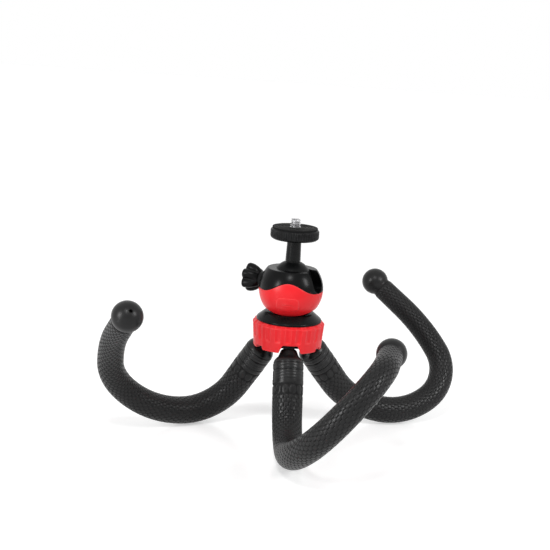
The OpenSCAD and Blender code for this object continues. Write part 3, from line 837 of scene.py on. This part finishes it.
class STAND_OT_cover(bpy.types.Operator):
    """Builds the red lower cover with its wavy edge and bare badge panel"""

    bl_idname = "stand.cover"
    bl_label = "Red cover"

    def execute(self, context):
        # Each row is a share of the height between the edges and a depth below the cover's face.
        rows = [(0.004, 0.75), (0.0, 0.6), (0.0, 0.2), (0.004, 0.06), (0.016, 0.0)]
        rows += [(i / 40, 0.0) for i in range(1, 40)]
        rows += [(0.984, 0.0), (0.996, 0.06), (1.0, 0.2), (1.0, 0.6), (0.996, 0.75)]
        rows += [(1 - i / 10, 0.75) for i in range(1, 10)]
        bm = turned([(HOUSING_R + 0.01 * math.cos(i), i) for i in range(len(rows))], 360, closed=True)

        def place(row, angle, r, z):
            share, depth = rows[row]
            low, high = cover_edge(angle, cover_low), cover_upper(angle)
            return on_shell(low, high, share, angle, HOUSING_R, depth)

        shape(bm, place)
        bm = joined(bm, self.badge_panel())
        piece("wavy_cover", bm, HEAD, "red_satin", "base", ["red_cover"], 45)
        return {"FINISHED"}

    @staticmethod
    def badge_panel():
        """A plain raised panel, rounded at its corners, that follows the round cover."""
        half_w, half_h, corner = 7.0, 4.3, 2.8
        section = [(0.0, -0.2), (0.0, 0.1), (0.06, 0.2), (0.18, 0.27)]
        section += [(inset, 0.3) for inset in (0.4, 1.2, 2.0, 2.8, 3.5, 4.1)] + [(4.1, -0.2)]
        start = [(1 + 0.1 * math.cos(i * 0.8), 0.1 * math.sin(i * 0.8)) for i in range(len(section))]
        bm = turned(start, 160, closed=True)

        def place(row, angle, r, z):
            inset, rise = section[row]
            # A rounded rectangle in polar form, by stepping out until its edge is met.
            w, h, c = half_w - inset, half_h - inset, max(0.3, corner - inset)
            dx, dz = math.cos(angle), math.sin(angle)
            reach = 0.0
            step = 4.0
            while step > 1e-4:
                x, y = abs(dx * (reach + step)), abs(dz * (reach + step))
                over = math.hypot(max(0.0, x - w + c), max(0.0, y - h + c))
                if over <= c:
                    reach += step
                else:
                    step /= 2
            x, up = dx * reach, dz * reach - BADGE_DROP
            radius = HOUSING_R + rise
            y = -math.sqrt(radius * radius - x * x - up * up)
            return Matrix.Rotation(-COVER_TURN, 3, "Z") @ Vector((x, y, HOUSING_Z + up))

        shape(bm, place)
        return bm


class STAND_OT_housing(bpy.types.Operator):
    """Builds the ball housing: black shell, flat rim, drop notch, inner body and the knob's boss"""

    bl_idname = "stand.housing"
    bl_label = "Ball housing"

    def execute(self, context):
        # Each row is a part of the section and a share of the way along it.
        rows = [("flat", 0.0), ("flat", 1.0)] + [("below", i / 14) for i in range(15)]
        rows += [("step", 0.0), ("step", 1.0)]
        for kind, count in (("above", 36), ("lip", 5), ("wall", 8), ("cavity", 12)):
            rows += [(kind, i / count) for i in range(1, count + 1)]
        last = len(rows) - 1
        bm = turned([(20.0 * math.sin(math.pi * i / last), 40.0 * i / last) for i in range(len(rows))],
                    360)
        edge_angle = math.asin(NOTCH_R / on_sphere(RIM_Z))
        inner_angle = math.asin(NOTCH_R / MOUTH_R)

        def opening(angle):
            """Upper edge of the shell in one direction: its height and its inner point."""
            away = math.remainder(angle - NOTCH_AZ, 2 * math.pi)
            side = 1 if away >= 0 else -1
            size = abs(away)
            if size >= edge_angle:
                spread = math.radians(75)
                if size < spread:
                    size = inner_angle + (size - edge_angle) * (spread - inner_angle) / (spread - edge_angle)
                inside = polar(MOUTH_R, NOTCH_AZ + side * size, RIM_Z - 0.15)
                return RIM_Z, inside
            low, high = BALL_Z - NOTCH_R, RIM_Z
            for _ in range(40):
                z = (low + high) / 2
                offset = on_sphere(z) * math.sin(size)
                open_here = offset < NOTCH_R if z > BALL_Z else math.hypot(offset, z - BALL_Z) < NOTCH_R
                low, high = (low, z) if open_here else (z, high)
            offset = side * on_sphere(z) * math.sin(size)
            depth = CAVITY_R ** 2 - offset ** 2 - (z - BALL_Z) ** 2
            depth = max(depth, MOUTH_R ** 2 - offset ** 2)
            ahead = math.sqrt(depth)
            inside = Matrix.Rotation(NOTCH_AZ, 3, "Z") @ Vector((ahead, offset, z))
            return z, inside

        spans = {}

        def place(row, angle, r, z):
            kind, t = rows[row]
            if angle not in spans:
                spans[angle] = (cover_upper(angle), *opening(angle))
            edge, upper, inside = spans[angle]
            edge = min(edge + 0.12, upper - 0.3)
            if kind == "flat":
                return polar(t * 0.96 * on_sphere(FLAT_Z, INNER_R), angle, FLAT_Z)
            if kind == "below":
                return on_shell(FLAT_Z + 0.1, edge, t, angle, INNER_R)
            if kind == "step":
                radius = HOUSING_R - (0.35, 0.0)[int(t)] - 0.04
                z = edge + (0.0, SHELL_LIP)[int(t)]
                return polar(on_sphere(z, radius), angle, z)
            if kind == "above":
                return on_shell(edge + SHELL_LIP, upper - RIM_EASE, t, angle, HOUSING_R)
            start = polar(on_sphere(upper - RIM_EASE), angle, upper - RIM_EASE)
            corner = polar(on_sphere(upper), angle, upper)
            goal = Vector((inside.x, inside.y, max(inside.z, upper) if upper == RIM_Z else inside.z))
            inward = (goal - corner).normalized()
            round_end = corner + inward * 0.45
            if kind == "lip":
                return start.lerp(corner, t).lerp(corner.lerp(round_end, t), t)
            if kind == "wall":
                return round_end.lerp(goal, min(1.0, t * 8 / 7)) if t < 1 else inside
            bottom = Vector((0, 0, BALL_Z - CAVITY_R))
            point = inside.lerp(bottom, t) - Vector((0, 0, BALL_Z))
            if t >= 1:
                return bottom
            share = 1 if t > 0.15 else max(0.9, point.length / CAVITY_R)
            return point.normalized() * CAVITY_R * share + Vector((0, 0, BALL_Z))

        shape(bm, place)
        tidy(bm)
        boss = eased([(4.05, 17.0), (BOSS_R, 17.0, 0.0), (BOSS_R, 21.8, 0.4), (4.05, 21.8, 0.15),
                      (4.05, 20.0)], 0.3)
        neck = turned(boss, 96, closed=True)
        bmesh.ops.transform(neck, matrix=HEAD.inverted() @ KNOB, verts=neck.verts[:])
        bm = joined(bm, neck)
        piece("ball_housing", bm, HEAD, "black_gloss", "base", ["housing"], 38)
        return {"FINISHED"}


class STAND_OT_knob(bpy.types.Operator):
    """Builds the lobed locking knob"""

    bl_idname = "stand.knob"
    bl_label = "Locking knob"

    def execute(self, context):
        lobes = context.scene.stand_head.lobes
        start, thick, radius, lobe, hub = 22.2, 9.8, 9.0, 2.9, 4.6
        profile = [(0, 0), (5.2, 0, 0.5), (7.3, 2.4, 0.8), (8.5, 5.0, 0.9), (radius, 7.0, 0.8),
                   (radius, thick - 0.7, 0.4), (8.3, thick, 0.5), (4.4, thick, 0.2),
                   (4.1, thick - 0.5, 0.2), (0, thick - 0.5)]
        profile = eased(profile, 0.5, 4)
        bm = turned(profile, lobes * 40)

        def place(row, angle, r, z):
            if r < hub:
                return polar(r, angle, start + z)
            away = around(angle, lobes, -0.5) * 2 * math.pi / lobes
            middle = radius - lobe
            inside = lobe ** 2 - (middle * math.sin(away)) ** 2
            reach = middle * math.cos(away) + math.sqrt(inside) if inside > 0 else 0.0
            valley, blend = middle + 0.7, 0.6
            both = (reach + valley + math.sqrt((reach - valley) ** 2 + blend ** 2)) / 2
            share = (r - hub) / (radius - hub)
            return polar(hub + share * (min(radius, both) - hub), angle, start + z)

        shape(bm, place)
        piece("lobed_knob", bm, KNOB, "black_satin", "knob", ["knob"])
        return {"FINISHED"}


class STAND_OT_ball(bpy.types.Operator):
    """Builds the ball and the stem that stands in it"""

    bl_idname = "stand.ball"
    bl_label = "Ball and stem"

    def execute(self, context):
        bore = 4.4
        top = math.degrees(math.acos((bore + 0.3) / BALL_R))
        ball = [(0, BALL_Z - 6), (bore, BALL_Z - 6), (bore, BALL_Z + BALL_R - 1.3),
                (bore + 0.1, BALL_Z + BALL_R - 1.05)]
        ball += arc(BALL_R, BALL_Z, top, -89, 64) + [(0, BALL_Z - BALL_R)]
        piece("head_ball", turned(ball, 128), HEAD, "black_satin", "ball", ["ball"])
        foot, end = BALL_Z + BALL_R - 0.25, DISC_Z - 0.5
        stem = eased([(0, BALL_Z - 5.8), (4.35, BALL_Z - 5.8, 0.4), (4.35, foot - 0.1, 0.0),
                      (4.72, foot + 0.05, 0.15), (4.7, foot + 0.6, 0.2), (4.36, end - 1.6, 0.3),
                      (4.3, end, 0.25), (3, end, 0.0), (3, HEAD_Z - 1, 0.0), (4.2, HEAD_Z - 1, 0.1),
                      (4.2, HEAD_Z - 0.2, 0.1), (0, HEAD_Z - 0.2)], 0.3)
        piece("head_stem", turned(stem, 96), HEAD, "black_coated_metal", "stem", ["stem"])
        return {"FINISHED"}


class STAND_OT_seat(bpy.types.Operator):
    """Builds the knurled seat disc, its rubber pad and the threaded screw"""

    bl_idname = "stand.seat"
    bl_label = "Seat and screw"

    def execute(self, context):
        head = context.scene.stand_head
        self.disc(head)
        self.pad()
        self.screw(head)
        return {"FINISHED"}

    @staticmethod
    def disc(head):
        r, bore, pocket, low, high = DISC_R, 3.05, 5.55, DISC_Z, DISC_Z + DISC_H
        profile = eased([(bore, low + 1.0), (bore, low, 0.1), (r - 1.5, low, 0.5),
                         (r - 0.25, low + 1.0, 0.6), (r, low + 1.7, 0.4), (r, high - 0.9, 0.5),
                         (r - 0.8, high, 0.5), (pocket, high, 0.1), (pocket, HEAD_Z, 0.0),
                         (bore, HEAD_Z, 0.0), (bore, low + 1.0)], 0.4, 4)
        bm = turned(profile[:-1], head.knurls * 8, closed=True)

        def place(row, angle, radius, z):
            if radius > r - 0.6:
                cut = head.knurl_depth * smooth(0.35, 0.9, 2 * abs(around(angle, head.knurls)))
                radius -= cut * smooth(low + 0.8, low + 1.6, z) * (1 - smooth(high - 0.9, high - 0.4, z))
            return polar(radius, angle, z)

        shape(bm, place)
        piece("knurled_disc", bm, HEAD, "black_satin", "camera_mount", ["seat_disc"], 35)

    @staticmethod
    def pad():
        low, high = DISC_Z + DISC_H, DISC_Z + DISC_H + PAD_T
        hole = SCREW_R + 0.3
        profile = [(hole, high), (hole, low), (PAD_R, low, 0.1), (PAD_R, high, 0.35)]
        for ring in (12.2, 10.2, 8.2, 6.2):
            profile += [(ring + 0.45, high, 0.12), (ring + 0.2, high - 0.3, 0.1),
                        (ring - 0.2, high - 0.3, 0.1), (ring - 0.45, high, 0.12)]
        profile += [(hole, high)]
        bm = turned(eased(profile, 0.2)[:-1], 160, closed=True)
        piece("grooved_pad", bm, HEAD, "grooved_rubber", "camera_mount", ["seat_pad"], 50)

    @staticmethod
    def screw(head):
        deck = DISC_Z + DISC_H
        low, high = deck + PAD_T, deck + PAD_T + SCREW_OUT
        shank = turned(eased([(0, HEAD_Z), (5.5, HEAD_Z, 0.1), (5.5, deck, 0.2),
                              (SCREW_R + 0.2, deck, 0.0), (SCREW_R + 0.2, low, 0.1), (0, low)], 0.1), 96)
        thread = bmesh.new()
        pitch, per_turn, turns = head.pitch, 64, 6
        minor = SCREW_R - 0.613 * pitch
        chain = [(minor, 0.0), (minor, 0.1), (SCREW_R, 0.44), (SCREW_R, 0.56), (minor, 0.9), (minor, 1.0)]
        verts = [thread.verts.new((r, 0, low - 1.2 * pitch + t * pitch)) for r, t in chain]
        edges = [thread.edges.new(pair) for pair in zip(verts, verts[1:])]
        bmesh.ops.spin(thread, geom=verts + edges, axis=(0, 0, 1), cent=(0, 0, 0),
                       angle=2 * math.pi * turns, dvec=(0, 0, pitch / per_turn),
                       steps=per_turn * turns, use_duplicate=False)
        bmesh.ops.remove_doubles(thread, verts=thread.verts[:], dist=1e-3)
        for z, way in ((low - 0.1, -1), (high, 1)):
            bmesh.ops.bisect_plane(thread, geom=thread.verts[:] + thread.edges[:] + thread.faces[:],
                                   dist=1e-5, plane_co=(0, 0, z), plane_no=(0, 0, way), clear_outer=True)
            bmesh.ops.holes_fill(thread, edges=[e for e in thread.edges if e.is_boundary and
                                                all(abs(v.co.z - z) < 1e-3 for v in e.verts)], sides=0)
        for vert in thread.verts:
            reach = math.hypot(vert.co.x, vert.co.y)
            limit = SCREW_R - max(0.0, vert.co.z - (high - 0.7)) * 0.9
            if reach > limit:
                vert.co.x *= limit / reach
                vert.co.y *= limit / reach
        face_out(thread)
        bm = joined(shank, thread)
        piece("threaded_screw", bm, HEAD, "bright_steel", "camera_mount", ["camera_screw"], 30)


class STAND_OT_inner_parts(bpy.types.Operator):
    """Gives the solid inner parts their finishes"""

    bl_idname = "stand.inner_parts"
    bl_label = "Inner parts"

    def execute(self, context):
        finishes = {
            "black_satin": ["hub_body", "bottom_cap"],
            "bright_steel": ["leg_pins", "hub_stud", "hub_nut", "hub_screws", "disc_washer", "knob_screw"],
            "brass_turned": ["knob_nut", "brake_shoe"],
            "cup_plastic": ["ball_seat"],
            "core_wire": [f"{name}_link_{k}" for name in LEG_WAYS for k in range(1, 6)],
        }
        for finish, nodes in finishes.items():
            for node in nodes:
                materials = frame["nodes"][node].data.materials
                materials.clear()
                materials.append(bpy.data.materials[finish])
        return {"FINISHED"}


def toward(azimuth, elevation):
    """Direction from the part to a place round it, by degrees."""
    a, e = math.radians(azimuth), math.radians(elevation)
    return Vector((math.sin(a) * math.cos(e), -math.cos(a) * math.cos(e), math.sin(e)))


class STAND_OT_stage(bpy.types.Operator):
    """Sets the floor, the lamps, the room light and the camera"""

    bl_idname = "stand.stage"
    bl_label = "Stage"

    def execute(self, context):
        stage = context.scene.stand_stage
        context.scene.view_settings.view_transform = "Standard"
        self.floor(stage)
        self.room(stage)
        aim = HEAD @ Vector((0, 0, LAMP_AIM_Z))
        for name, power, azimuth, elevation, away, size in (
                ("key_lamp", stage.key, -56, 15, 0.9, (0.13, 0.40)),
                ("fill_lamp", stage.fill, 55, 30, 0.95, (0.13, 0.36)),
                ("top_lamp", stage.top, -14, 50, 1.0, (0.16, 0.16))):
            lamp = bpy.data.lights.new(name, "AREA")
            lamp.shape, lamp.size, lamp.size_y, lamp.energy = "RECTANGLE", size[0], size[1], power
            back = toward(azimuth, elevation)
            obj = new_object(name, lamp)
            obj.location = aim + back * away
            obj.rotation_euler = back.to_track_quat("Z", "Y").to_euler()
        self.camera(context)
        return {"FINISHED"}

    @staticmethod
    def seen_rays(tree):
        """1 for rays from the camera, and for those that mirrors and glass send on."""
        rays = add(tree, "ShaderNodeLightPath").outputs
        both = math_node(tree, "MAXIMUM", rays["Is Camera Ray"], rays["Is Glossy Ray"])
        return math_node(tree, "MAXIMUM", both, rays["Is Transmission Ray"])

    def floor(self, stage):
        bm = bmesh.new()
        bmesh.ops.create_grid(bm, x_segments=1, y_segments=1, size=FLOOR_SIZE)
        mesh = mesh_from("floor", bm)
        obj = new_object("floor", mesh)
        obj.location.z = FLOOR_Z
        material = bpy.data.materials.new("pale_floor")
        material.use_nodes = True
        tree = material.node_tree
        shader = tree.nodes["Principled BSDF"]
        shader.inputs["Base Color"].default_value = (*stage.floor, 1)
        shader.inputs["Roughness"].default_value = 0.22
        shader.inputs["Specular IOR Level"].default_value = 0.35
        shader.inputs["Emission Color"].default_value = (1, 1, 1, 1)
        lift = math_node(tree, "MULTIPLY", self.seen_rays(tree), stage.lift)
        tree.links.new(lift, shader.inputs["Emission Strength"])
        mesh.materials.append(material)

    def room(self, stage):
        world = bpy.data.worlds.new("room")
        bpy.context.scene.world = world
        world.use_nodes = True
        tree = world.node_tree
        tree.nodes.clear()
        strength = blend_value(tree, self.seen_rays(tree), stage.world, 1.0)
        back = add(tree, "ShaderNodeBackground", {"Color": (1, 1, 1, 1), "Strength": strength})
        out = add(tree, "ShaderNodeOutputWorld", {"Surface": back.outputs[0]})
        out.is_active_output = True

    @staticmethod
    def camera(context):
        back = toward(CAMERA_AZ, CAMERA_EL)
        right = Vector((-back.y, back.x, 0)).normalized()
        up = back.cross(right)
        sin, cos = math.sin(CAMERA_ROLL), math.cos(CAMERA_ROLL)
        right, up = right * cos + up * sin, up * cos - right * sin
        data = bpy.data.cameras.new("camera")
        data.sensor_width = SENSOR
        data.lens = SENSOR * FOCAL_PX / FRAME_PX
        data.shift_x, data.shift_y = (shift / FRAME_PX for shift in SHIFT_PX)
        obj = new_object("camera", data)
        matrix = Matrix((right, up, back)).transposed().to_4x4()
        matrix.translation = HEAD @ Vector((0, 0, CAMERA_AIM_Z)) + back * CAMERA_AWAY
        obj.matrix_world = matrix
        context.scene.camera = obj


OPERATORS = (
    STAND_OT_finishes, STAND_OT_stage, STAND_OT_sleeves, STAND_OT_feet, STAND_OT_collars,
    STAND_OT_ring, STAND_OT_flange, STAND_OT_cover, STAND_OT_housing, STAND_OT_knob, STAND_OT_ball,
    STAND_OT_seat, STAND_OT_inner_parts,
)


class STAND_PT_panel(bpy.types.Panel):
    """Lists the stand's settings and the operators that build it"""

    bl_idname = "STAND_PT_panel"
    bl_label = "Flexible leg stand"
    bl_space_type = "VIEW_3D"
    bl_region_type = "UI"
    bl_category = "Stand"

    def draw(self, context):
        for name, group in SETTINGS:
            box = self.layout.box()
            box.label(text=group.__doc__)
            for title in group.__annotations__:
                box.prop(getattr(context.scene, name), title)
        for operator in OPERATORS:
            self.layout.operator(operator.bl_idname)


def register():
    for name, group in SETTINGS:
        bpy.utils.register_class(group)
        setattr(bpy.types.Scene, name, PointerProperty(type=group))
    for cls in (*OPERATORS, STAND_PT_panel):
        bpy.utils.register_class(cls)


def unregister():
    for cls in reversed((*OPERATORS, STAND_PT_panel)):
        bpy.utils.unregister_class(cls)
    for name, group in reversed(SETTINGS):
        delattr(bpy.types.Scene, name)
        bpy.utils.unregister_class(group)


def main():
    register()
    for operator in OPERATORS:
        getattr(bpy.ops.stand, operator.bl_idname.split(".")[1])()


if __name__ == "__main__":
    main()
